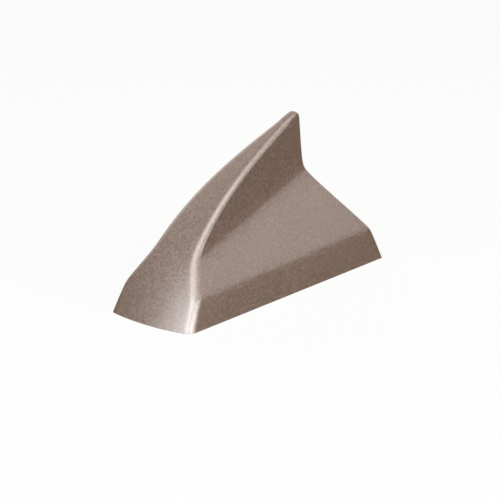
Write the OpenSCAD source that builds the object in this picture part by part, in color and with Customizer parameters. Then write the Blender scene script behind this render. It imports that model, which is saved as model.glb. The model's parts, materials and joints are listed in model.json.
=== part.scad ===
// Shark fin aerial for a car roof: a painted moulded cover on a self-adhesive base,
// with the radio coil, navigation patch and amplifier board inside it.
// x runs from the nose to the tail, z is up, and z = 0 is the roof surface.

/* [Cover] */
// Length of the cover along the roof
cover_l = 140; // [125:1:165]
// Width across the two nose corners, at the roof
nose_w = 46.3; // [42:0.1:56]
// Width across the two tail corners, at the roof
tail_w = 55.3; // [50:0.1:66]
// Height of the fin's tip, before it is rounded
fin_h = 76.1; // [70:0.1:84]
// Wall thickness of the cover
wall = 2.2; // [1.8:0.1:2.6]
// Radius of the nose, seen from above
nose_r = 97; // [70:1:140]
// Radius along the two long ridges
ridge_r = 3; // [1:0.1:4]
// Radius of the two tail corners, seen from above
tail_r = 1.5; // [1:0.1:3]
// Radius of the fin's tip, seen from the side
tip_r = 3; // [1.6:0.1:4]
// Radius of the fin's tip, seen from the front
tip_edge_r = 1.7; // [0.8:0.1:1.8]

/* [Crest line] */
// Angle of the nose at the roof
nose_angle = 63.6; // [58:0.1:66]
// How far the nose keeps that angle
nose_pull = 44.2; // [40:0.1:52]
// Angle of the crest at the tip
crest_angle = 21; // [18:0.1:27]
// How far the crest keeps that angle
crest_pull = 64.2; // [54:0.1:68]

/* [Skirt and shoulder] */
// Height of the skirt at the nose
skirt_nose_h = 12.3; // [9:0.1:13]
// Height of the skirt at the tail
skirt_tail_h = 16; // [13:0.1:18]
// How far the skirt leans in at each side
side_draft = 2.1; // [1.5:0.1:3.2]
// How far the skirt leans in at the tail
tail_draft = 7.1; // [5:0.1:9]
// Softness of the crease along the top of the skirt
crease_soft = 0.7; // [0.3:0.1:1.2]

/* [Fin] */
// Distance from the foot of the fin's rear edge to the tail
tail_run = 32.5; // [28:0.1:38]
// How far the rear edge leans forward on its way up
rear_lean = 1.7; // [0:0.1:4]
// Height of the foot of the rear edge
foot_z = 0.6237 * fin_h;
// Thickness of the fin at the foot of its rear edge
foot_t = 6; // [5:0.1:7]
// Thickness of the fin at its tip
tip_t = 4; // [2.6:0.1:4.4]
// Distance from the nose at which the fin's front thickness is measured
fin_front_x = 20; // [16:0.5:26]
// Thickness of the fin there, where it leaves the shoulder
fin_front_t = 24.7; // [19:0.1:26]
// Softness of the fillet between fin and shoulder
fin_soft = 1.8; // [1:0.1:2.6]
// Softness of the fillet at the foot of the rear edge
foot_soft = 2.4; // [1.2:0.1:3.2]

/* [Inside the cover] */
// Distance from the nose to the two front screws
front_screw_x = 17; // [16:0.5:18]
// Distance between the two front screws
front_screw_gap = nose_w - 18.3;
// Distance from the tail to the two rear screws
rear_screw_run = 17; // [15:0.5:19]
// Distance between the two rear screws
rear_screw_gap = tail_w - 21.3;
// Diameter of the screw bosses
boss_d = 7; // [6:0.1:7.4]
// Thickness of the ribs
rib_t = 1.4; // [1:0.1:1.8]
// How far the ribs stand in from the wall
rib_depth = 2.4; // [1.5:0.1:3]

/* [Base] */
// Thickness of the foam pad that sticks to the roof
pad_t = 1; // [0.6:0.1:1.4]
// Thickness of the base plate
plate_t = 3; // [2.6:0.1:3.6]
// Width of the rubber seal between the base plate and the cover
seal_w = 1.5; // [1:0.1:2]
// Thickness of the ground plate's sheet metal
ground_t = 0.5; // [0.3:0.1:0.7]
// Diameter of the bolt that comes up through the roof
bolt_d = 5; // [4:1:6]
// Diameter of the outlet for the lead
lead_d = 5; // [4:0.5:6]
// Distance from the outlet for the lead to the tail
lead_run = 19; // [18:0.5:21]
// Diameter of the cover screws' shanks
cover_screw_d = 2.6; // [2.2:0.1:3]

/* [Circuit board] */
// Room left round the board, towards the front screws and the outlet for the lead
board_room = 1.5; // [1:0.1:1.5]
// Thickness of the board
board_t = 1.6; // [1:0.2:1.6]
// Height of the board's underside above the base plate
board_gap = 3.5; // [3.2:0.1:4.5]
// Diameter of the board screws' shanks
board_screw_d = 2; // [1.6:0.1:2.2]
// Thickness of the navigation patch
patch_t = 4; // [2:0.5:5]
// Height of the amplifier's shield
shield_h = 4; // [3:0.5:5]

/* [Radio coil] */
// Diameter of the former's core
core_d = 5.2; // [4:0.1:5.4]
// Diameter of the copper wire
wire_d = 0.8; // [0.5:0.1:1]
// Number of turns
coil_turns = 12; // [8:1:13]
// Thickness of the top plate
top_plate_t = 0.6; // [0.4:0.1:0.8]

/* [Hidden] */

corner_x = pow(nose_w / 2, 2) / (2 * nose_r);
tail_top_x = cover_l - tail_draft;
foot_x = cover_l - tail_run;
tip_x = foot_x - rear_lean;

// Spacing of the cover's sections: samples along each half of one, and steps in height.
band_n = 5;
ridge_n = 8;
side_n = 11;
corner_n = 3;
tail_n = 2;
skirt_steps = 6;
shoulder_steps = 10;
fin_steps = 16;
tip_steps = 5;
// Thinnest half width that the hollow inside the cover runs to, and the flat left at its top.
core_half = 0.9;
core_top_l = 3;
tip_flat = 0.04;
// Smallest round at the corners inside the cover.
corner_min_r = 0.8;

// Clearance between pieces that drop into each other, and round a screw's shank.
fit = 0.15;
shank_fit = 0.05;

// Heights of the stack, from the roof up.
plate_top = pad_t + plate_t;
seal_lip_t = 0.8;
seal_top = plate_top + seal_lip_t;
board_z = plate_top + board_gap;
board_top = board_z + board_t;

// Where the pieces stand along the aerial, and the size of those that fill the room between others.
lead_x = cover_l - lead_run;
bolt_x = cover_l * 3 / 7;
coil_x = cover_l * 18 / 35;
grommet_d = lead_d + 3;
grommet_flange_d = grommet_d + 3;
board_screw_edge = 3;
board_x = front_screw_x + boss_d / 2 + board_room;
board_l = lead_x - grommet_flange_d / 2 - board_room - 2 - board_x;
board_w = nose_w - 10.3;
patch_l = board_w - 4 * board_screw_edge + 1;
patch_x = board_x + 2 + patch_l / 2;
parts_x = patch_x + patch_l / 2 + 4;
parts_y = board_w / 4;
shield_l = board_l * 4 / 15;
shield_w = board_w * 5 / 9;
shield_x = board_x + board_l * 83 / 90 - shield_l / 2;
cover_screw_places = [
    for (side = [-1, 1])
        each [[front_screw_x, side * front_screw_gap / 2], [cover_l - rear_screw_run, side * rear_screw_gap / 2]]
];
board_screw_places = [
    for (x = [board_x + board_screw_edge, board_x + board_l - board_screw_edge], side = [-1, 1])
        [x, side * (board_w / 2 - board_screw_edge)]
];
rib_places = [coil_x * 0.55, foot_x - 6.9];

// Crest line, a cubic curve from the nose to the tip, moved in by a wall thickness.
function crest_end() = [tip_x, fin_h];
function crest_poles() = [
    [0, 0],
    nose_pull * [cos(nose_angle), sin(nose_angle)],
    crest_end() - crest_pull * [cos(crest_angle), sin(crest_angle)],
    crest_end()
];
function crest_raw(t, p) =
    pow(1 - t, 3) * p[0] + 3 * t * pow(1 - t, 2) * p[1] + 3 * t * t * (1 - t) * p[2] + pow(t, 3) * p[3];
function crest_dir(t, p) =
    let (d = pow(1 - t, 2) * (p[1] - p[0]) + 2 * t * (1 - t) * (p[2] - p[1]) + t * t * (p[3] - p[2]))
    d / norm(d);
function crest_at(t, w) =
    let (p = crest_poles(), d = crest_dir(t, p)) crest_raw(t, p) + w * [d[1], -d[0]];
// The curve's parameter where its x (axis 0) or its z (axis 1) has a value, by halving.
function crest_t(value, axis, w, low = -0.1, high = 1, steps = 22) =
    steps == 0 ? (low + high) / 2
    : let (mid = (low + high) / 2, short = crest_at(mid, w)[axis] < value)
      crest_t(value, axis, w, short ? mid : low, short ? high : mid, steps - 1);

// Smooth maximum and minimum, which fillet a hollow corner and round an outer one.
function soft_max(a, b, k) = (a + b + sqrt(pow(a - b, 2) + k * k)) / 2;
function soft_min(a, b, k) = (a + b - sqrt(pow(a - b, 2) + k * k)) / 2;
function mix(a, b, t) = a + (b - a) * t;

// Half width at (x, z) of a plane through three points, moved in by w.
function plane_half(p, q, r, x, z, w) =
    let (n = cross(q - p, r - p)) p[1] - (n[0] * (x - p[0]) + n[2] * (z - p[2])) / n[1] - w * norm(n) / abs(n[1]);

function skirt_h(x) = mix(skirt_nose_h, skirt_tail_h, x / cover_l);
function base_half(x) = mix(nose_w / 2, tail_w / 2, (x - corner_x) / (cover_l - corner_x));
function crease_point(x) = [x, base_half(x) - side_draft, skirt_h(x)];
function foot_point() = [foot_x, foot_t / 2, foot_z];
function tip_point() = [tip_x, tip_t / 2, fin_h];

function skirt_half(x, z, w) = base_half(x) - side_draft * z / skirt_h(x) - w * norm([1, side_draft / skirt_h(x)]);
function shoulder_half(x, z, w) =
    plane_half(crease_point(corner_x), crease_point(tail_top_x), foot_point(), x, z, w);
// Height at which the shoulder is fin_front_t wide, fin_front_x from the nose.
function fin_front_z() =
    let (y0 = shoulder_half(fin_front_x, 0, 0), y1 = shoulder_half(fin_front_x, 1, 0))
    (fin_front_t / 2 - y0) / (y1 - y0);
function fin_half(x, z, w) =
    plane_half([fin_front_x, fin_front_t / 2, fin_front_z()], foot_point(), tip_point(), x, z, w);
// How much narrower the outer surface gets towards the tip's top, in a round of tip_edge_r.
function tip_edge(z, w) =
    let (rise = z - tip_centre()[1] - tip_r + tip_edge_r)
    w > 0 || rise <= 0 ? 0 : tip_edge_r - sqrt(max(0, pow(tip_edge_r, 2) - rise * rise));
function body_half(x, z, w) =
    soft_min(skirt_half(x, z, w), soft_max(shoulder_half(x, z, w), fin_half(x, z, w), fin_soft), crease_soft)
    - tip_edge(z, w);

// The rear outline, seen from the side: skirt, slope and the fin's rear edge.
function rear_skirt(z, w) =
    cover_l - tail_draft * z / skirt_tail_h - w * norm([1, tail_draft / skirt_tail_h]);
function rear_slope(z, w) =
    let (k = (foot_x - tail_top_x) / (foot_z - skirt_tail_h))
    tail_top_x + k * (z - skirt_tail_h) - w * norm([1, k]);
function rear_edge(z, w) = foot_x - rear_lean * (z - foot_z) / (fin_h - foot_z) - w;
function rear_x(z, w) =
    soft_min(rear_skirt(z, w), soft_max(rear_slope(z, w), rear_edge(z, w), foot_soft), crease_soft);

// Centre of the round at the tip, tangent to the crest and to the rear edge.
function tip_centre() =
    let (back = 180 + crest_angle, down = 360 - atan2(fin_h - foot_z, rear_lean), half = (down - back) / 2)
    crest_end() + tip_r / sin(half) * [cos(back + half), sin(back + half)];

// Front and rear of a section at height z, seen from the side. The outer ones end in the tip's
// round, and the inner ones, with w above 0, end where the fin gets too thin to be hollow.
function tip_reach(z) = sqrt(max(0, pow(tip_r, 2) - pow(z - tip_centre()[1], 2)));
function front_at(z, w) =
    let (c = tip_centre())
    w == 0 && z > c[1] + tip_r * cos(crest_angle) ? c[0] - tip_reach(z) : crest_at(crest_t(z, 1, w), w)[0];
function core_x(z, w) =
    let (y0 = fin_half(0, z, w), y1 = fin_half(1, z, w)) (core_half - y0) / (y1 - y0);
function rear_at(z, w) =
    let (c = tip_centre())
    w == 0 ? (z > c[1] + tip_r * rear_lean / fin_h ? min(rear_x(z, 0), c[0] + tip_reach(z)) : rear_x(z, 0))
    : soft_min(rear_skirt(z, w), soft_max(rear_slope(z, w), min(rear_edge(z, w), core_x(z, w)), foot_soft), crease_soft);

// Height of the highest section: the tip, or the top of the hollow.
function top_z(w, low = foot_z, high = fin_h, steps = 20) =
    w == 0 ? tip_centre()[1] + tip_r - tip_flat
    : steps == 0 ? low
    : let (mid = (low + high) / 2)
      rear_at(mid, w) - front_at(mid, w) > core_top_l ? top_z(w, mid, high, steps - 1) : top_z(w, low, mid, steps - 1);

// Front corner of the section whose ridge is at height z: where the band meets the side.
function ridge_at(z, w, x = 0, steps = 8) =
    let (y = body_half(x, z, w))
    steps == 0 ? [x, y] : ridge_at(z, w, front_at(z, w) + y * y / (2 * (nose_r - w)), steps - 1);

// Line in side view between the shoulder and the fin.
function fold_z(x) = mix(fin_front_z(), foot_z, (x - fin_front_x) / (foot_x - fin_front_x));
function ridge_fold_z(w, z = 20, steps = 12) =
    steps == 0 ? z : ridge_fold_z(w, fold_z(ridge_at(z, w)[0]), steps - 1);
function ridge_skirt_z(w, z = 12, steps = 8) =
    steps == 0 ? z : ridge_skirt_z(w, skirt_h(ridge_at(z, w)[0]), steps - 1);

// Each section is given by its height at the ridge and its height at the rear. The sections follow
// the top of the skirt, then the fold between shoulder and fin, and crowd together near each.
function eased(n) = [for (i = [1:n]) (1 - cos(180 * i / n)) / 2];
function crowded(n) = [for (i = [1:n]) sin(90 * i / n)];
function sections(w, coarse) =
    let (
        skirt = [ridge_skirt_z(w), skirt_h(tail_top_x)],
        fold = [ridge_fold_z(w), foot_z],
        top = [top_z(w), top_z(w)],
        tip = top - [tip_r, tip_r]
    )
    concat(
        [[0, 0]],
        [for (s = crowded(ceil(skirt_steps / coarse))) s * skirt],
        [for (s = eased(ceil(shoulder_steps / coarse))) mix(skirt, fold, s)],
        [for (s = eased(ceil(fin_steps / coarse))) mix(fold, tip, s)],
        [for (s = crowded(ceil(tip_steps / coarse))) mix(tip, top, s)]
    );

// Slope of the crest at height z, which stretches the round of the ridge in a level section.
function crest_slope(z, w) =
    w == 0 && z > tip_centre()[1] + tip_r * cos(crest_angle)
    ? acos(min(1, (z - tip_centre()[1]) / tip_r))
    : let (d = crest_dir(crest_t(z, 1, w), crest_poles())) atan2(d[1], d[0]);

// One quarter round between two points, with its corner at c.
function quarter(c, p, q, n) = [for (i = [0:n]) c + (1 - sin(90 * i / n)) * (p - c) + (1 - cos(90 * i / n)) * (q - c)];

// Half of one section, from the middle of the nose round to the middle of the tail.
function half_section(heights, w, coarse) =
    let (
        z0 = heights[0],
        z1 = heights[1],
        front = front_at(z0, w),
        ridge = ridge_at(z0, w),
        rear = rear_at(z1, w),
        span = rear - ridge[0],
        rise = (z1 - z0) / span,
        half = ridge[1],
        round_y = min(max(ridge_r - w, corner_min_r), 0.8 * half),
        round_x = min(round_y / sin(max(5, crest_slope(z0, w))), 0.45 * span),
        tail_half = body_half(rear, z1, w),
        tail_y = min(max(tail_r - w, corner_min_r), 0.7 * tail_half),
        tail_x = min(tail_y, 0.45 * span),
        bow = 1 / (2 * (nose_r - w)),
        side_from = ridge[0] + round_x,
        side_to = rear - tail_x
    )
    concat(
        [for (i = [0:ceil(band_n / coarse) - 1])
            let (y = (half - round_y) * i / ceil(band_n / coarse)) [front + bow * y * y, y, z0]],
        [for (p = quarter(
            ridge,
            [front + bow * pow(half - round_y, 2), half - round_y],
            [side_from, body_half(side_from, z0 + rise * round_x, w)],
            ceil(ridge_n / coarse)
        )) [p[0], p[1], z0 + rise * max(0, p[0] - ridge[0])]],
        [for (i = [1:ceil(side_n / coarse) - 1])
            let (x = mix(side_from, side_to, i / ceil(side_n / coarse)), z = z0 + rise * (x - ridge[0]))
            [x, body_half(x, z, w), z]],
        [for (p = quarter(
            [rear, tail_half],
            [side_to, body_half(side_to, z1 - rise * tail_x, w)],
            [rear, tail_half - tail_y],
            ceil(corner_n / coarse)
        )) [p[0], p[1], z0 + rise * (p[0] - ridge[0])]],
        [for (i = [1:tail_n]) [rear, (tail_half - tail_y) * (1 - i / tail_n), z1]]
    );
function full_section(heights, w, coarse) =
    let (h = half_section(heights, w, coarse), n = len(h))
    concat(h, [for (i = [n - 2:-1:1]) [h[i][0], -h[i][1], h[i][2]]]);

// Sections of the form, moved in by w, from the roof up.
function form_rings(w, levels, around) = [for (h = sections(w, levels)) full_section(h, w, around)];
function backwards(list) = [for (i = [len(list) - 1:-1:0]) list[i]];

function middle(ring) = [for (p = ring) 1] * ring / len(ring);

// A closed solid through a row of rings of n points each, with a fan over each end ring. Seen from
// outside, its faces turn clockwise when the rings rise.
module tube(rings) {
    n = len(rings[0]);
    last = (len(rings) - 1) * n;
    hub = last + n;
    polyhedron(
        concat([for (r = rings) each r], [middle(rings[0]), middle(rings[len(rings) - 1])]),
        concat(
            [for (k = [0:len(rings) - 2], i = [0:n - 1])
                let (a = k * n + i, b = k * n + (i + 1) % n)
                each [[a, b + n, a + n], [a, b, b + n]]],
            [for (i = [0:n - 1]) [hub, (i + 1) % n, i]],
            [for (i = [0:n - 1]) [hub + 1, last + i, last + (i + 1) % n]]
        ),
        4
    );
}

// The space inside the cover's outer surface, moved in by w all round.
module inside_form(w) tube(form_rings(w, 3, 3));

// The moulding itself: down the hollow and up the outer surface, as one closed surface.
module cover_shell() tube(concat(backwards(form_rings(wall, 2, 1)), form_rings(0, 1, 1)));

// The outline of the form at height z, moved in by w, as a slab between two heights.
module slab(z, w, from, to)
    translate([0, 0, from])
        linear_extrude(to - from)
            polygon([for (p = full_section([z, z], w, 1)) [p[0], p[1]]]);

module at(places) for (p = places) translate([p[0], p[1], 0]) children();

module post(d, from, to) translate([0, 0, from]) cylinder(d = d, h = to - from);

// A plate with rounded corners, centred on its own middle.
module rounded_plate(l, w, r, t) {
    linear_extrude(t) {
        square([l - 2 * r, w], center = true);
        square([l, w - 2 * r], center = true);
        for (x = [-1, 1], y = [-1, 1]) translate([x * (l / 2 - r), y * (w / 2 - r)]) circle(r);
    }
}

module block(l, w, from, to) translate([-l / 2, -w / 2, from]) cube([l, w, to - from]);

// Cover

cover_screw_l = 10;
cover_head_d = 5;
cover_head_t = 1.6;
cover_head_z = pad_t + cover_head_t + 0.2;
pilot_top = cover_head_z + cover_screw_l + 0.5;
rib_foot_z = board_top + shield_h + 2.5;

module screw_bosses() at(cover_screw_places) post(boss_d, plate_top, fin_h);

// A rib is an arch across the cover: its outer edge runs inside the wall, and its inner edge
// follows the hollow, rib_depth in from the wall, and closes where the fin is too thin for it.
function rib_edge(x, w) =
    let (crest_z = crest_at(crest_t(x, 0, w), w)[1], steps = 10)
    [
        for (i = [0:steps])
            let (z = mix(rib_foot_z, crest_z, i / steps), y = body_half(x, z, w))
            if (y > core_half) [y, z]
    ];
function mirrored(points) = [for (p = points) [-p[0], p[1]]];

module rib(x) {
    outer = rib_edge(x + rib_t / 2, wall / 2);
    inner = rib_edge(x + rib_t / 2, wall + rib_depth);
    translate([x, 0, 0]) rotate([90, 0, 90]) linear_extrude(rib_t)
        polygon(concat(outer, backwards(mirrored(outer)), mirrored(inner), backwards(inner)));
}

module cover() {
    color("rosybrown") difference() {
        union() {
            cover_shell();
            intersection() {
                screw_bosses();
                inside_form(wall / 2);
            }
            for (x = rib_places) rib(x);
        }
        at(cover_screw_places) post(cover_screw_d + 2 * shank_fit, plate_top - 1, pilot_top);
    }
}

// Base

seal_w_in = wall + fit + seal_w;
insert_d = bolt_d + 2.4;
insert_h = 5.6;
insert_proud = 0.4;
insert_top = pad_t + insert_h;
insert_boss_top = board_z - 0.3;

module rim_seal() {
    color("black") difference() {
        slab(seal_top, wall + fit, 0, seal_top);
        slab(seal_top, seal_w_in, -1, plate_top);
        slab(seal_top, seal_w_in + seal_lip_t, plate_top - 1, seal_top + 1);
    }
}

module base_plate() {
    color("dimgray") difference() {
        union() {
            slab(seal_top, seal_w_in + fit, pad_t, plate_top);
            at(board_screw_places) post(2 * board_screw_edge - 0.4, plate_top - 1, board_z);
            at([[bolt_x, 0]]) post(insert_d + 4, plate_top - 1, insert_boss_top);
        }
        at(cover_screw_places) {
            post(cover_head_d + 2 * fit, pad_t - 1, cover_head_z);
            post(cover_screw_d + 2 * fit, pad_t, plate_top + 1);
        }
        at(board_screw_places) post(board_screw_d + 2 * shank_fit, board_screw_end - 0.3, board_z + 1);
        at([[bolt_x, 0]]) post(insert_d + 2 * shank_fit, pad_t - 1, insert_top);
        at([[lead_x, 0]]) post(grommet_d + 2 * shank_fit, pad_t - 1, plate_top + 1);
    }
}

module adhesive_pad() {
    color("#303030") difference() {
        slab(seal_top, seal_w_in + 1, 0, pad_t);
        at([[bolt_x, 0]]) post(insert_d + 2, -1, pad_t + 1);
        at([[lead_x, 0]]) post(grommet_flange_d + 2 * fit, -1, pad_t + 1);
    }
}

// Threaded brass sleeve with two grooves that the plastic grips. It stands a little proud of the base
// plate, inside the foam pad's opening.
module stud_insert() {
    groove = 0.5;
    color("goldenrod") translate([bolt_x, 0, insert_top - insert_h - insert_proud])
        rotate_extrude()
            difference() {
                translate([bolt_d / 2, 0]) square([(insert_d - bolt_d) / 2, insert_h + insert_proud]);
                for (z = [insert_h / 3, insert_h * 2 / 3])
                    translate([insert_d / 2 - groove, insert_proud + z - groove / 2]) square([2 * groove, groove]);
            }
}

// Rubber outlet: a flange on each side of the plate, and a neck that tapers round the lead.
module cable_grommet() {
    neck_top = plate_top + 5;
    color("#202020") translate([lead_x, 0, 0])
        rotate_extrude()
            polygon([
                [lead_d / 2, 0],
                [grommet_flange_d / 2, 0],
                [grommet_flange_d / 2, pad_t],
                [grommet_d / 2, pad_t],
                [grommet_d / 2, plate_top],
                [grommet_flange_d / 2, plate_top],
                [grommet_flange_d / 2, plate_top + 1],
                [grommet_d / 2, plate_top + 1],
                [lead_d / 2 + 0.8, neck_top],
                [lead_d / 2, neck_top]
            ]);
}

// Screws

// Pan head screw with a cross slot, its head's underside at z = 0 and its shank below it.
module pan_screw(d, l, head_d, head_t) {
    slot = head_d / 6;
    difference() {
        union() {
            post(head_d, 0, head_t * 0.6);
            translate([0, 0, head_t * 0.6]) cylinder(d1 = head_d, d2 = head_d * 0.7, h = head_t * 0.4);
            post(d, 1 - l, 0);
            translate([0, 0, -l]) cylinder(d1 = d * 0.5, d2 = d, h = 1);
        }
        for (turn = [0, 90]) rotate([0, 0, turn]) block(head_d * 0.6, slot, head_t * 0.5, head_t + 1);
    }
}

module cover_screws()
    color("silver") at(cover_screw_places)
        translate([0, 0, cover_head_z]) rotate([180, 0, 0])
            pan_screw(cover_screw_d, cover_screw_l, cover_head_d, cover_head_t);

board_screw_l = 5;
board_screw_end = board_top - board_screw_l;

module board_screws()
    color("silver") at(board_screw_places)
        translate([0, 0, board_top])
            pan_screw(board_screw_d, board_screw_l, 2 * board_screw_edge - 2, 1.3);

// Ground plate and circuit board

// A tray of folded sheet between the posts, with contact fingers along its two upright edges.
module ground_plate() {
    l = board_l - 6;
    w = board_w - 4 * board_screw_edge - 1;
    fingers = 12;
    step = l / fingers;
    color("lightgray") translate([board_x + board_l / 2, 0, 0]) difference() {
        union() {
            block(l, w, plate_top, plate_top + ground_t);
            for (side = [-1, 1])
                translate([0, side * (w - ground_t) / 2, 0]) block(l, ground_t, plate_top, board_z - fit);
        }
        translate([bolt_x - board_x - board_l / 2, 0, 0]) post(insert_d + 4 + 2 * fit, plate_top - 1, board_z);
        for (i = [1:fingers - 1])
            translate([i * step - l / 2, 0, 0]) block(1, w + 1, plate_top + 1, board_z);
    }
}

module circuit_board() {
    color("darkgreen") difference() {
        translate([board_x + board_l / 2, 0, board_z]) rounded_plate(board_l, board_w, board_screw_edge, board_t);
        at(board_screw_places) post(board_screw_d + 0.4, board_z - 1, board_top + 1);
        at([[patch_x, 0]]) post(pin_d + 2 * shank_fit, board_z - 1, board_top + 1);
    }
}

pin_d = 1;
pin_head_t = 0.4;

module navigation_patch() {
    electrode_t = 0.1;
    color("tan") translate([patch_x, 0, board_top]) difference() {
        union() {
            rounded_plate(patch_l, patch_l, 0.6, patch_t - electrode_t);
            rounded_plate(patch_l - 5, patch_l - 5, 0.6, patch_t);
        }
        post(pin_d + 2 * shank_fit, -1, patch_t + 1);
    }
}

module patch_pin()
    color("gainsboro") at([[patch_x, 0]]) {
        post(pin_d, board_z - 0.8, board_top + patch_t);
        post(2.4 * pin_d, board_top + patch_t, board_top + patch_t + pin_head_t);
    }

// Amplifier and its shield

sheet_t = 0.4;

module shield_frame()
    color("silver") translate([shield_x, 0, 0]) difference() {
        block(shield_l, shield_w, board_top, board_top + shield_h);
        block(shield_l - 2 * sheet_t, shield_w - 2 * sheet_t, board_top - 1, board_top + shield_h - sheet_t);
        block(shield_l - 4, shield_w - 4, board_top, board_top + shield_h + 1);
    }

module shield_lid() {
    top = board_top + shield_h;
    skirt = 1.8;
    color("gainsboro") translate([shield_x, 0, 0]) difference() {
        block(shield_l + 2 * (fit + sheet_t), shield_w + 2 * (fit + sheet_t), top - skirt, top + sheet_t);
        block(shield_l + 2 * fit, shield_w + 2 * fit, top - skirt - 1, top);
        for (x = [-1, 0, 1], y = [-1, 0, 1])
            translate([x * shield_l / 4, y * shield_w / 4, 0]) post(1.5, top - 1, top + 1);
    }
}

module amplifier_chip()
    color("#1a1a1a") translate([shield_x, 0, board_top]) difference() {
        rounded_plate(5, 5, 0.2, 0.9);
        translate([-1.7, 1.7, 0]) post(0.6, 0.8, 1);
    }

module chip_capacitors()
    color("peru") translate([shield_x, 0, board_top])
        for (x = [-1, 1], y = [-1, 0, 1])
            translate([x * 5.5, y * 3.5, 0]) block(1, 1.8, 0, 0.9);

// Drum cores with their windings.
module choke_coils()
    color("#3a3a3a") for (i = [0, 1])
        translate([parts_x + 6.5 * i, -parts_y, board_top]) {
            post(5, 0, 0.8);
            post(4, 0.8, 3.2);
            post(5, 3.2, 4);
        }

module storage_capacitor()
    color("lightsteelblue") translate([parts_x + 2, parts_y, board_top]) {
        rounded_plate(6.6, 6.6, 1, 0.9);
        post(6.3, 0.9, 1.6);
        post(5.8, 1.6, 2);
        post(6.3, 2, 5.8);
    }

// Coaxial socket at the board's rear edge, facing the lead's outlet.
module cable_socket() {
    axis_z = board_top + 3;
    x = board_x + board_l;
    color("gold") translate([x, -5, 0]) difference() {
        union() {
            translate([-1.5, 0, 0]) block(5, 6, board_top, board_top + 6);
            translate([0, 0, axis_z]) rotate([0, 90, 0]) cylinder(d = 4.6, h = 5);
            translate([3, 0, axis_z]) rotate([0, 90, 0]) cylinder(d = 5.2, h = 0.8);
        }
        translate([1.5, 0, axis_z]) rotate([0, 90, 0]) difference() {
            cylinder(d = 3.6, h = 5);
            cylinder(d = 0.9, h = 3);
        }
    }
}

// Shrouded header with two pins for the amplifier's supply.
module power_terminal() {
    x = board_x + board_l - 2.5;
    color("ivory") translate([x, 6, 0]) {
        difference() {
            block(4.5, 7, board_top, board_top + 5);
            block(3.3, 5.8, board_top + 1, board_top + 6);
        }
        for (side = [-1, 1]) translate([0, side * 1.25, 0]) block(0.6, 0.6, board_top + 0.5, board_top + 4.5);
    }
}

// Radio coil

former_foot_t = 1.6;
former_foot_d = 12;
former_flange_t = 1.2;
head_h = 5;
head_l = 4.6;
head_w = 3.4;
// The top plate's lower edge hangs under the fin's foot, and the coil takes up the height below it.
plate_edge_z = foot_z - 6.1;
former_flange_z = plate_edge_z - former_flange_t - 4;
slot_z = former_flange_z + former_flange_t + 1;
coil_r = core_d / 2 + fit + wire_d / 2;
coil_z = board_top + former_foot_t + wire_d / 2 + 0.6;
coil_top_z = former_flange_z - wire_d / 2 - 0.4;
coil_pitch = (coil_top_z - coil_z) / coil_turns;

module coil_former() {
    color("whitesmoke") translate([coil_x, 0, 0]) difference() {
        union() {
            post(former_foot_d, board_top, board_top + former_foot_t);
            post(core_d, board_top, former_flange_z);
            post(2 * coil_r + wire_d, former_flange_z, former_flange_z + former_flange_t);
            block(head_l, head_w, former_flange_z + 0.5, former_flange_z + former_flange_t + head_h);
        }
        // The notch that the wire's tail runs up through, and the slot for the top plate.
        translate([coil_r + wire_d, wire_d / 2, 0])
            block(3 * wire_d, wire_d + 2 * fit, former_flange_z - 1, former_flange_z + former_flange_t + 1);
        block(head_l + 1, top_plate_t + 2 * shank_fit, slot_z, fin_h);
    }
}

// Copper wire: a helix that starts at the foot clip, and whose tail runs straight up to the top
// plate from the coil's rear.
wire_sides = 6;
turn_steps = 16;
quarter_turn = turn_steps / 4;
wire_ring = [for (k = [0:wire_sides - 1]) wire_d / 2 * [cos(360 * k / wire_sides), sin(360 * k / wire_sides)]];

module radio_coil() {
    steps = coil_turns * turn_steps - quarter_turn;
    color("chocolate") translate([coil_x, 0, 0])
        tube(concat(
            [
                for (i = [-steps:0])
                    let (a = 360 * i / turn_steps, z = coil_top_z + coil_pitch * i / turn_steps)
                    [for (p = wire_ring) [(coil_r + p[0]) * cos(a), (coil_r + p[0]) * sin(a), z + p[1]]]
            ],
            [
                for (z = [coil_top_z + wire_d, plate_edge_z - shank_fit])
                    [for (p = wire_ring) [coil_r + p[0], wire_d / 2 - p[1], z]]
            ]
        ));
}

// Spring contact: a foot on the board, a riser and an arm that presses on the start of the coil.
module coil_foot_clip() {
    reach = coil_r + wire_d / 2 + shank_fit;
    riser = former_foot_d / 2 + 0.6;
    arm_top = coil_z + coil_pitch / 4 + sheet_t / 2;
    color("burlywood") translate([coil_x, 0, 0]) rotate([90, 0, 90]) linear_extrude(2, center = true)
        polygon([
            [riser, board_top],
            [riser + 4, board_top],
            [riser + 4, board_top + sheet_t],
            [riser + sheet_t, board_top + sheet_t],
            [riser + sheet_t, arm_top],
            [reach, arm_top],
            [reach, arm_top - sheet_t],
            [riser, arm_top - sheet_t]
        ]);
}

foam_t = 1.8;
top_plate_inset = wall + foam_t + fit;
top_plate_from_z = foot_z - 0.8;
top_plate_top_l = 1.5;
top_plate_to_z = top_plate_top_z();
foam_from_z = mix(top_plate_from_z, top_plate_to_z, 1 / 6);
foam_to_z = mix(top_plate_from_z, top_plate_to_z, 1 / 2);
foam_w = ridge_at(foam_to_z, wall + 2 * fit)[1] * 0.93;

function top_plate_rear(z) = core_x(z, wall + fit) - 1;
// Height at which the room between the crest and the plate's rear edge gets down to top_plate_top_l.
function top_plate_top_z(low = foot_z, high = fin_h, steps = 20) =
    steps == 0 ? low
    : let (mid = (low + high) / 2, wide = top_plate_rear(mid) - front_at(mid, top_plate_inset) > top_plate_top_l)
      top_plate_top_z(wide ? mid : low, wide ? high : mid, steps - 1);

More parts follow.
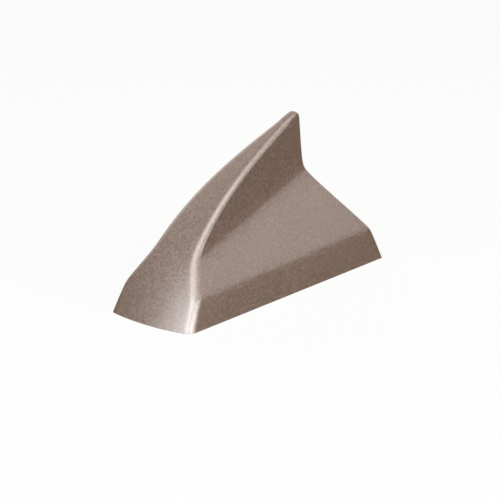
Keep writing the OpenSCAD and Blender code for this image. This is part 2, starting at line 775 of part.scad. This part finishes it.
// A plate upright in the fin. Its top edge follows the crest, below the foam, and its tab stands in
// the former's slot.
module top_plate() {
    from_z = top_plate_from_z;
    to_z = top_plate_to_z;
    steps = 8;
    front = front_at(from_z, top_plate_inset);
    rear = top_plate_rear(to_z);
    tab = head_l / 2 - 0.3;
    slots = 3;
    slot_step = (rear - coil_x) * 0.23;
    slot_h = (to_z - from_z) / 3;
    color("silver") rotate([90, 0, 0]) linear_extrude(top_plate_t, center = true) difference() {
        polygon(concat(
            [for (i = [0:steps]) let (z = mix(from_z, to_z, i / steps)) [front_at(z, top_plate_inset), z]],
            [
                [rear, to_z],
                [rear, plate_edge_z],
                [coil_x + tab, plate_edge_z],
                [coil_x + tab, slot_z],
                [coil_x - tab, slot_z],
                [coil_x - tab, plate_edge_z],
                [front, plate_edge_z]
            ]
        ));
        for (i = [1:slots])
            translate([coil_x + slot_step * i, plate_edge_z + 3]) square([slot_step / 3, slot_h]);
    }
}

module foam_pad() {
    steps = 4;
    heights = [for (i = [0:steps]) mix(foam_from_z, foam_to_z, i / steps)];
    color("slategray") rotate([90, 0, 0]) linear_extrude(foam_w, center = true)
        polygon(concat(
            [for (z = heights) [front_at(z, wall + 2 * fit), z]],
            [for (z = backwards(heights)) [front_at(z, wall + foam_t), z]]
        ));
}

// The frame's origin is under the middle of the aerial, on the roof.
module in_frame() translate([-cover_l / 2, 0, 0]) children();

in_frame() cover();
in_frame() rim_seal();
in_frame() base_plate();
in_frame() adhesive_pad();
in_frame() stud_insert();
in_frame() cable_grommet();
in_frame() cover_screws();
in_frame() ground_plate();
in_frame() circuit_board();
in_frame() board_screws();
in_frame() navigation_patch();
in_frame() patch_pin();
in_frame() shield_frame();
in_frame() shield_lid();
in_frame() amplifier_chip();
in_frame() chip_capacitors();
in_frame() choke_coils();
in_frame() storage_capacitor();
in_frame() cable_socket();
in_frame() power_terminal();
in_frame() coil_former();
in_frame() radio_coil();
in_frame() coil_foot_clip();
in_frame() top_plate();
in_frame() foam_pad();
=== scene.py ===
"""Shark fin aerial for a car roof: finishes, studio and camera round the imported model."""
import json
import math

import bmesh
import bpy
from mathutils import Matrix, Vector


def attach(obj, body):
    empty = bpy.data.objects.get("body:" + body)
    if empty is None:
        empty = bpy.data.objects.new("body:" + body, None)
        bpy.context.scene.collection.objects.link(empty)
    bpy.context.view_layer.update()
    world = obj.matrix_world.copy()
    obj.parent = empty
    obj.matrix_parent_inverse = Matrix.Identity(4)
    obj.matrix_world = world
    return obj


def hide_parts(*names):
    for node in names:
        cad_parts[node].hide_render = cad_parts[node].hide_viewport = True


MM = 0.001

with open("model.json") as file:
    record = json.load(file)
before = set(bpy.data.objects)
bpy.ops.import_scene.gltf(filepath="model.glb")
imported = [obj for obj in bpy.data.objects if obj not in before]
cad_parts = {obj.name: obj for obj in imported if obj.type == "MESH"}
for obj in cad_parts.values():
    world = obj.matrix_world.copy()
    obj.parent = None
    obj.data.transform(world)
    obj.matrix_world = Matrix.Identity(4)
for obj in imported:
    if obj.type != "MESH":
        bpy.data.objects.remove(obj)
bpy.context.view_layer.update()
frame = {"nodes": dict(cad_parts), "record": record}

# Material slot by node
SLOTS = {part["node"]: part["material_slot"] for part in frame["record"]["subparts"]}

# Camera, in the frame: it looks at the middle of the aerial from its front left
CAMERA_AZIMUTH = math.radians(-51.15)
CAMERA_ELEVATION = math.radians(18.06)
CAMERA_DISTANCE = 700 * MM
CAMERA_TARGET = Vector((1.4, 0, 15.49)) * MM
CAMERA_CLIP = 10 * MM
# Focal length and sensor width in millimetres
CAMERA_LENS = 109.83
SENSOR = 36


def make_camera():
    data = bpy.data.cameras.new("camera")
    data.lens = CAMERA_LENS
    data.sensor_width = SENSOR
    data.clip_start = CAMERA_CLIP
    camera = bpy.data.objects.new("camera", data)
    back = Vector((
        math.sin(CAMERA_AZIMUTH) * math.cos(CAMERA_ELEVATION),
        -math.cos(CAMERA_AZIMUTH) * math.cos(CAMERA_ELEVATION),
        math.sin(CAMERA_ELEVATION),
    ))
    camera.location = CAMERA_TARGET + back * CAMERA_DISTANCE
    camera.rotation_euler = (-back).to_track_quat("-Z", "Y").to_euler()
    bpy.context.scene.collection.objects.link(camera)
    bpy.context.scene.camera = camera


make_camera()


# Materials


class Finish:
    """A node material that is built up from a Principled shader."""

    def __init__(self, name, color, roughness, metallic=0.0, specular=0.5):
        self.material = bpy.data.materials.new(name)
        self.material.use_nodes = True
        self.nodes = self.material.node_tree.nodes
        self.links = self.material.node_tree.links
        self.shader = self.nodes["Principled BSDF"]
        self.shader.inputs["Base Color"].default_value = (*color, 1)
        self.shader.inputs["Roughness"].default_value = roughness
        self.shader.inputs["Metallic"].default_value = metallic
        self.shader.inputs["Specular IOR Level"].default_value = specular
        self.place = self.nodes.new("ShaderNodeTexCoord").outputs["Object"]

    def join(self, source, node, socket):
        self.links.new(source, node.inputs[socket])

    def noise(self, scale, detail, roughness=0.5, place=None):
        node = self.nodes.new("ShaderNodeTexNoise")
        node.inputs["Scale"].default_value = scale
        node.inputs["Detail"].default_value = detail
        node.inputs["Roughness"].default_value = roughness
        self.join(place or self.place, node, "Vector")
        return node.outputs["Fac"]

    def cells(self, scale, output):
        """One output of a pattern of cells, so many to a metre."""
        node = self.nodes.new("ShaderNodeTexVoronoi")
        node.inputs["Scale"].default_value = scale
        self.join(self.place, node, "Vector")
        return node.outputs[output]

    def stretched(self, scale):
        """The place on the piece, scaled along each axis."""
        node = self.nodes.new("ShaderNodeMapping")
        node.inputs["Scale"].default_value = scale
        self.join(self.place, node, "Vector")
        return node.outputs["Vector"]

    def ramp(self, source, *stops):
        """A colour ramp from (position, colour) stops."""
        node = self.nodes.new("ShaderNodeValToRGB")
        elements = node.color_ramp.elements
        while len(elements) < len(stops):
            elements.new(0.5)
        for element, (position, color) in zip(elements, stops):
            element.position = position
            element.color = (*color, 1)
        self.join(source, node, "Fac")
        return node.outputs["Color"]

    def span(self, source, low, high):
        """A value from 0 to 1, spread between low and high."""
        node = self.nodes.new("ShaderNodeMapRange")
        node.inputs["To Min"].default_value = low
        node.inputs["To Max"].default_value = high
        self.join(source, node, "Value")
        return node.outputs["Result"]

    def bump(self, source, depth, strength):
        node = self.nodes.new("ShaderNodeBump")
        node.inputs["Distance"].default_value = depth
        node.inputs["Strength"].default_value = strength
        self.join(source, node, "Height")
        self.join(node.outputs["Normal"], self.shader, "Normal")

    def color(self, source):
        self.join(source, self.shader, "Base Color")

    def roughness(self, source):
        self.join(source, self.shader, "Roughness")


def shade(color, factor):
    return tuple(min(1, c * factor) for c in color)


def cover_paint():
    """Satin metallic paint: brown, with fine flakes of darker and paler brown.

    Its high index of refraction gives the strong, nearly colourless reflections.
    """
    brown = (0.18, 0.078, 0.032)
    dark_flake = (0.1, 0.03, 0.004)
    pale_flake = (0.3, 0.175, 0.12)
    finish = Finish("cover_paint", brown, 0.36)
    finish.shader.inputs["IOR"].default_value = 4.3
    split = finish.nodes.new("ShaderNodeSeparateColor")
    finish.join(finish.cells(1850, "Color"), split, "Color")
    finish.color(finish.ramp(
        split.outputs["Red"], (0.0, dark_flake), (0.5, brown), (1.0, pale_flake)
    ))
    finish.roughness(finish.span(split.outputs["Green"], 0.33, 0.45))
    finish.bump(finish.noise(2200, 2), 0.05 * MM, 0.8)
    return finish.material


def molded(name, color, roughness, grain=900):
    """Moulded plastic, rubber or ceramic with a fine grain, so many grains to a metre."""
    finish = Finish(name, color, roughness)
    tone = finish.noise(60, 3)
    finish.color(finish.ramp(tone, (0.3, shade(color, 0.85)), (0.7, shade(color, 1.15))))
    finish.roughness(finish.span(finish.noise(grain, 2), roughness - 0.08, roughness + 0.08))
    finish.bump(finish.noise(grain, 2), 0.03 * MM, 0.4)
    return finish.material


def foam(name, color):
    """Closed cell foam: small round pits, whose hollows are darkened with painted shade."""
    finish = Finish(name, color, 0.85, specular=0.2)
    pits_and_shade = finish.cells(1600, "Distance")
    # Painted shade: the colour is darkest in the middle of each pit, where the bump sinks
    # deepest
    finish.color(finish.ramp(pits_and_shade, (0.0, shade(color, 0.6)), (0.5, shade(color, 1.3))))
    finish.bump(pits_and_shade, 0.15 * MM, 0.6)
    return finish.material


def metal(name, color, roughness, brushed=(1, 1, 1)):
    """Bare or plated metal with fine marks, closer together along an axis brushed more."""
    finish = Finish(name, color, roughness, metallic=1)
    marks = finish.noise(500, 4, 0.6, finish.stretched(brushed))
    finish.color(finish.ramp(marks, (0.3, shade(color, 0.85)), (0.7, shade(color, 1.1))))
    finish.roughness(finish.span(marks, roughness - 0.08, roughness + 0.12))
    finish.bump(marks, 0.01 * MM, 0.4)
    return finish.material


def laminate(name, color):
    """Solder mask over a woven board."""
    finish = Finish(name, color, 0.3)
    weave = finish.noise(700, 2, 0.5, finish.stretched((1, 1, 0.2)))
    finish.color(finish.ramp(weave, (0.35, shade(color, 0.8)), (0.65, shade(color, 1.2))))
    finish.bump(weave, 0.01 * MM, 0.3)
    return finish.material


FINISHES = {
    "cover_paint": cover_paint(),
    "seal_rubber": molded("seal_rubber", (0.022, 0.022, 0.022), 0.65),
    "base_plastic": molded("base_plastic", (0.05, 0.05, 0.053), 0.5),
    "pad_foam": foam("pad_foam", (0.045, 0.045, 0.048)),
    "insert_brass": metal("insert_brass", (0.72, 0.52, 0.24), 0.28, (1, 1, 4)),
    "screw_steel": metal("screw_steel", (0.62, 0.62, 0.64), 0.3, (1, 1, 4)),
    "tinned_sheet": metal("tinned_sheet", (0.7, 0.71, 0.72), 0.34, (0.3, 3, 3)),
    "board_laminate": laminate("board_laminate", (0.012, 0.12, 0.045)),
    "patch_ceramic": molded("patch_ceramic", (0.5, 0.4, 0.28), 0.6, 1500),
    "chip_plastic": molded("chip_plastic", (0.03, 0.03, 0.033), 0.5, 2500),
    "choke_ferrite": molded("choke_ferrite", (0.06, 0.055, 0.05), 0.5, 2000),
    "can_aluminium": metal("can_aluminium", (0.78, 0.79, 0.8), 0.25, (1, 1, 5)),
    "former_plastic": molded("former_plastic", (0.72, 0.7, 0.63), 0.45),
    "coil_copper": metal("coil_copper", (0.62, 0.26, 0.13), 0.22),
}


def dress_nodes():
    """Give every node of the frame the finish of its slot."""
    for name, node in frame["nodes"].items():
        node.data.materials.clear()
        node.data.materials.append(FINISHES[SLOTS[name]])


dress_nodes()


# Pieces: each takes the place of one node

# Corners closer than this are one
SAME_CORNER = 0.002 * MM
# Edges shorter than this are taken out
SHORTEST_EDGE = 0.001 * MM


def joined_copy(name):
    """The node's mesh with its corners joined."""
    mesh = bmesh.new()
    mesh.from_mesh(frame["nodes"][name].data)
    bmesh.ops.remove_doubles(mesh, verts=mesh.verts, dist=SAME_CORNER)
    bmesh.ops.dissolve_degenerate(mesh, edges=mesh.edges, dist=SHORTEST_EDGE)
    return mesh


def add_piece(name, mesh, node):
    """Put a finished mesh in the scene in place of the node."""
    data = bpy.data.meshes.new(name)
    mesh.to_mesh(data)
    mesh.free()
    piece = bpy.data.objects.new(name, data)
    bpy.context.scene.collection.objects.link(piece)
    data.materials.append(FINISHES[SLOTS[node]])
    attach(piece, "root")
    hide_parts(node)
    return piece


def refine(piece):
    """Smooth the piece by one step of subdivision."""
    smooth = piece.modifiers.new("smooth", "SUBSURF")
    smooth.levels = smooth.render_levels = 1


# Cover

# Faces that lie wholly below this height are the cover's rim
RIM_HEIGHT = 0.01 * MM
# Two triangles become one facet where they bend, and their shape departs, by less than this
FACET_BEND = math.radians(20)
FACET_SHAPE = math.radians(60)


def outer_faces(mesh):
    """The cover's outer surface: all faces that the top one reaches without crossing the rim."""
    rim = {face for face in mesh.faces if max(v.co.z for v in face.verts) < RIM_HEIGHT}
    top = max((f for f in mesh.faces if f not in rim), key=lambda f: f.calc_center_median().z)
    found = {top}
    front = [top]
    while front:
        near = {
            other
            for face in front
            for edge in face.edges
            for other in edge.link_faces
        } - found - rim
        found |= near
        front = list(near)
    return found


def make_cover():
    """The moulding with one smooth outer surface: the node's facets joined and refined."""
    mesh = joined_copy("cover")
    bmesh.ops.join_triangles(
        mesh,
        faces=list(outer_faces(mesh)),
        angle_face_threshold=FACET_BEND,
        angle_shape_threshold=FACET_SHAPE,
    )
    outer = outer_faces(mesh)
    crease = mesh.edges.layers.float.new("crease_edge")
    for edge in mesh.edges:
        if any(face not in outer for face in edge.link_faces):
            edge[crease] = 1
    for face in mesh.faces:
        face.smooth = face in outer
    refine(add_piece("cover_skin", mesh, "cover"))


make_cover()


# Pieces under and inside the cover: copies of the solids with broken edges and smooth rounds

# Edges that bend more than this are rounded
ROUNDED_BEND = math.radians(28)
# Edges that still bend more than this are shaded sharp
SHARP_BEND = math.radians(35)
# Faces that bend less than this are one flat face
FLAT_BEND = math.radians(0.5)
# Edge radius in millimetres and its number of steps, by node
EDGES = {
    "rim_seal": (0.3, 4),
    "adhesive_pad": (0.22, 3),
    "cable_grommet": (0.3, 4),
    "foam_pad": (0.9, 5),
    "base_plate": (0.12, 2),
    "cover_screws": (0.04, 1),
    "ground_plate": (0.1, 2),
    "circuit_board": (0.04, 1),
    "board_screws": (0.03, 1),
    "navigation_patch": (0.04, 1),
    "patch_pin": (0.03, 1),
    "shield_frame": (0.08, 2),
    "shield_lid": (0.05, 2),
    "amplifier_chip": (0.012, 1),
    "chip_capacitors": (0.09, 2),
    "choke_coils": (0.12, 2),
    "storage_capacitor": (0.06, 2),
    "cable_socket": (0.03, 1),
    "power_terminal": (0.12, 2),
    "coil_former": (0.12, 2),
    "coil_foot_clip": (0.06, 2),
    "top_plate": (0.06, 2),
}


def merged_copy(name):
    """The node's mesh with its corners joined and its flat faces whole."""
    mesh = joined_copy(name)
    bmesh.ops.dissolve_limit(mesh, angle_limit=FLAT_BEND, verts=mesh.verts, edges=mesh.edges)
    return mesh


def rounded_copy(name, radius, steps):
    """The node's mesh with its edges rounded, to be shaded smooth between them."""
    mesh = merged_copy(name)
    bmesh.ops.bevel(
        mesh,
        geom=[edge for edge in mesh.edges if edge.calc_face_angle(0) > ROUNDED_BEND],
        offset=radius * MM,
        offset_type="OFFSET",
        segments=steps,
        profile=0.5,
        affect="EDGES",
        clamp_overlap=True,
        material=-1,
    )
    for face in mesh.faces:
        face.smooth = True
    for edge in mesh.edges:
        edge.smooth = edge.calc_face_angle(0) < SHARP_BEND
    return mesh


for node, (radius, steps) in EDGES.items():
    add_piece(node + "_finish", rounded_copy(node, radius, steps), node)


# Insert

# Edge radius in millimetres and its number of steps
INSERT_EDGE = (0.15, 2)
# Inner thread, in millimetres: M5, and the plain bore left at each end
THREAD_PITCH = 0.8
THREAD_DEPTH = 0.4
THREAD_END = 0.2
THREAD_STEPS_PER_TURN = 32
# How far the thread's ridge is sunk into the wall
THREAD_SUNK = 0.1
# Half the ridge's height at its foot and at its crest
THREAD_FOOT = THREAD_PITCH * 0.42
THREAD_CREST = THREAD_PITCH * 0.06


def add_thread(mesh, center, wall_radius, bottom, top):
    """Sweep a pointed ridge up a bore's wall, sunk a little into it and closed at both ends."""
    steps = THREAD_STEPS_PER_TURN
    turns = (top - bottom) / THREAD_PITCH - 1
    count = int(turns * steps)
    rings = []
    for step in range(count + 1):
        angle = 2 * math.pi * step / steps
        z = bottom + THREAD_PITCH / 2 + THREAD_PITCH * step / steps
        # The ridge runs out over the first and last half turn
        run_out = min(1, 2 * step / steps, 2 * (count - step) / steps)
        ring = []
        for radius, rise in (
            (wall_radius + THREAD_SUNK, -THREAD_FOOT),
            (wall_radius - THREAD_DEPTH * run_out, -THREAD_CREST),
            (wall_radius - THREAD_DEPTH * run_out, THREAD_CREST),
            (wall_radius + THREAD_SUNK, THREAD_FOOT),
        ):
            x = center[0] + radius * math.cos(angle)
            y = center[1] + radius * math.sin(angle)
            ring.append(mesh.verts.new(Vector((x, y, z + rise)) * MM))
        rings.append(ring)
    new = [mesh.faces.new(rings[0]), mesh.faces.new(rings[-1][::-1])]
    for low, high in zip(rings, rings[1:]):
        for side in range(4):
            after = (side + 1) % 4
            new.append(mesh.faces.new((low[side], high[side], high[after], low[after])))
    bmesh.ops.recalc_face_normals(mesh, faces=new)


def make_insert():
    """The brass insert with its inner thread, which takes the roof bolt."""
    mesh = rounded_copy("stud_insert", *INSERT_EDGE)
    bolt = next(mount for mount in frame["record"]["mounts"] if mount["name"] == "roof_bolt")
    x, y, z = (value / MM for value in bolt["pos_m"])
    length = bolt["dims"]["length_mm"]
    add_thread(mesh, (x, y), bolt["dims"]["r_mm"], z + THREAD_END, z + length - THREAD_END)
    add_piece("stud_insert_finish", mesh, "stud_insert")


make_insert()


# Coil

# Smoothing draws the six-sided wire in, so it starts this much thicker
WIRE_GROWTH = 0.03


def make_coil():
    """The radio coil with round wire."""
    mesh = merged_copy("radio_coil")
    mesh.normal_update()
    for corner in mesh.verts:
        corner.co += corner.normal * WIRE_GROWTH * MM
    for face in mesh.faces:
        face.smooth = True
    refine(add_piece("radio_coil_finish", mesh, "radio_coil"))


make_coil()


# Studio

# Distance of the softboxes and the point they face, in metres
LAMP_DISTANCE = 1.8
LAMP_TARGET = Vector((0, 0, 0.03))
COOL = (0.95, 0.98, 1.0)
WARM = (1.0, 0.96, 0.9)
# Softboxes by name: direction from the aerial, width and height in metres, watts and colour
SOFTBOXES = {
    "key": ((-0.87, -0.2, 0.5), (2.2, 1.4), 19.5, COOL),
    "nose": ((-0.98, -0.05, 0.12), (1.8, 0.6), 7.8, COOL),
    "high_nose": ((-0.6, -0.2, 0.8), (1.2, 1.0), 4.2, WARM),
    "by_camera": ((-0.4, -0.87, 0.2), (0.6, 0.8), 6.6, COOL),
    "side": ((-0.15, -0.95, 0.3), (2.2, 1.2), 12.0, WARM),
    "above": ((0.0, -0.25, 1.0), (1.4, 1.4), 9.0, WARM),
    "rear_sky": ((0.67, -0.43, 0.57), (1.2, 1.0), 1.6, WARM),
    "far_side": ((0.35, 0.85, 0.42), (1.4, 1.0), 5.0, WARM),
    "rear": ((0.9, 0.2, 0.4), (1.4, 1.0), 3.0, WARM),
}
# The floor as lamps and reflections meet it, then its white and glowing share for the camera
FLOOR_COLOR = (0.13, 0.125, 0.12)
FLOOR_PALE = (0.9, 0.9, 0.9)
FLOOR_GLOW = 0.86
# Half the floor's width in metres, and how far it lies below the aerial
FLOOR_REACH = 6
FLOOR_GAP = 0.05 * MM
WHITE = (1, 1, 1)
# Light from all round: its colour and strength on matt surfaces
FILL_COLOR = (1, 0.99, 0.98)
FILL = 0.22
# Its strength in reflections, from low to high, and the heights of direction between them
SKY = (0.08, 0.25)
SKY_HEIGHTS = (-0.1, 0.9)


def area_light(name, place, size, power, color):
    data = bpy.data.lights.new(name, "AREA")
    data.shape = "RECTANGLE"
    data.size, data.size_y = size
    data.energy = power
    data.color = color
    lamp = bpy.data.objects.new(name, data)
    lamp.location = place
    lamp.rotation_euler = (LAMP_TARGET - lamp.location).to_track_quat("-Z", "Y").to_euler()
    bpy.context.scene.collection.objects.link(lamp)


def mixed(nodes, links, share, first, second):
    """A mix of two shaders by a light path's share or a number."""
    node = nodes.new("ShaderNodeMixShader")
    if isinstance(share, float):
        node.inputs["Fac"].default_value = share
    else:
        links.new(share, node.inputs["Fac"])
    links.new(first, node.inputs[1])
    links.new(second, node.inputs[2])
    return node.outputs["Shader"]


def make_floor():
    """A dark grey floor for lamps and reflections, which the camera sees as white.

    The camera's share that doesn't glow still takes the aerial's shadow.
    """
    mesh = bmesh.new()
    bmesh.ops.create_grid(mesh, x_segments=1, y_segments=1, size=FLOOR_REACH)
    data = bpy.data.meshes.new("floor")
    mesh.to_mesh(data)
    mesh.free()
    floor = bpy.data.objects.new("floor", data)
    floor.location.z = -FLOOR_GAP
    bpy.context.scene.collection.objects.link(floor)
    finish = Finish("floor", FLOOR_COLOR, 0.9, specular=0.1)
    nodes, links = finish.nodes, finish.links
    path = nodes.new("ShaderNodeLightPath")
    glow = nodes.new("ShaderNodeEmission")
    glow.inputs["Color"].default_value = (*WHITE, 1)
    glow.inputs["Strength"].default_value = 1.0
    pale = nodes.new("ShaderNodeBsdfDiffuse")
    pale.inputs["Color"].default_value = (*FLOOR_PALE, 1)
    seen = mixed(nodes, links, FLOOR_GLOW, pale.outputs["BSDF"], glow.outputs["Emission"])
    links.new(
        mixed(nodes, links, path.outputs["Is Camera Ray"], finish.shader.outputs["BSDF"], seen),
        nodes["Material Output"].inputs["Surface"],
    )
    data.materials.append(finish.material)


def make_world():
    """White to the camera, an even fill on matt surfaces, and in reflections darker low down."""
    world = bpy.data.worlds.new("studio")
    world.use_nodes = True
    nodes, links = world.node_tree.nodes, world.node_tree.links
    path = nodes.new("ShaderNodeLightPath")

    def background(color, strength):
        node = nodes.new("ShaderNodeBackground")
        node.inputs["Color"].default_value = (*color, 1)
        node.inputs["Strength"].default_value = strength
        return node

    fill = background(FILL_COLOR, FILL).outputs["Background"]
    white = background(WHITE, 1.0).outputs["Background"]
    sky = background(WHITE, 1.0)
    place = nodes.new("ShaderNodeTexCoord")
    split = nodes.new("ShaderNodeSeparateXYZ")
    links.new(place.outputs["Generated"], split.inputs["Vector"])
    rise = nodes.new("ShaderNodeMapRange")
    rise.interpolation_type = "SMOOTHSTEP"
    rise.inputs["From Min"].default_value, rise.inputs["From Max"].default_value = SKY_HEIGHTS
    rise.inputs["To Min"].default_value, rise.inputs["To Max"].default_value = SKY
    links.new(split.outputs["Z"], rise.inputs["Value"])
    links.new(rise.outputs["Result"], sky.inputs["Strength"])
    matt = mixed(nodes, links, path.outputs["Is Glossy Ray"], fill, sky.outputs["Background"])
    links.new(
        mixed(nodes, links, path.outputs["Is Camera Ray"], matt, white),
        nodes["World Output"].inputs["Surface"],
    )
    bpy.context.scene.world = world


make_floor()
make_world()
for name, (direction, size, power, color) in SOFTBOXES.items():
    area_light(name, Vector(direction) * LAMP_DISTANCE, size, power, color)
bpy.context.scene.view_settings.view_transform = "Standard"
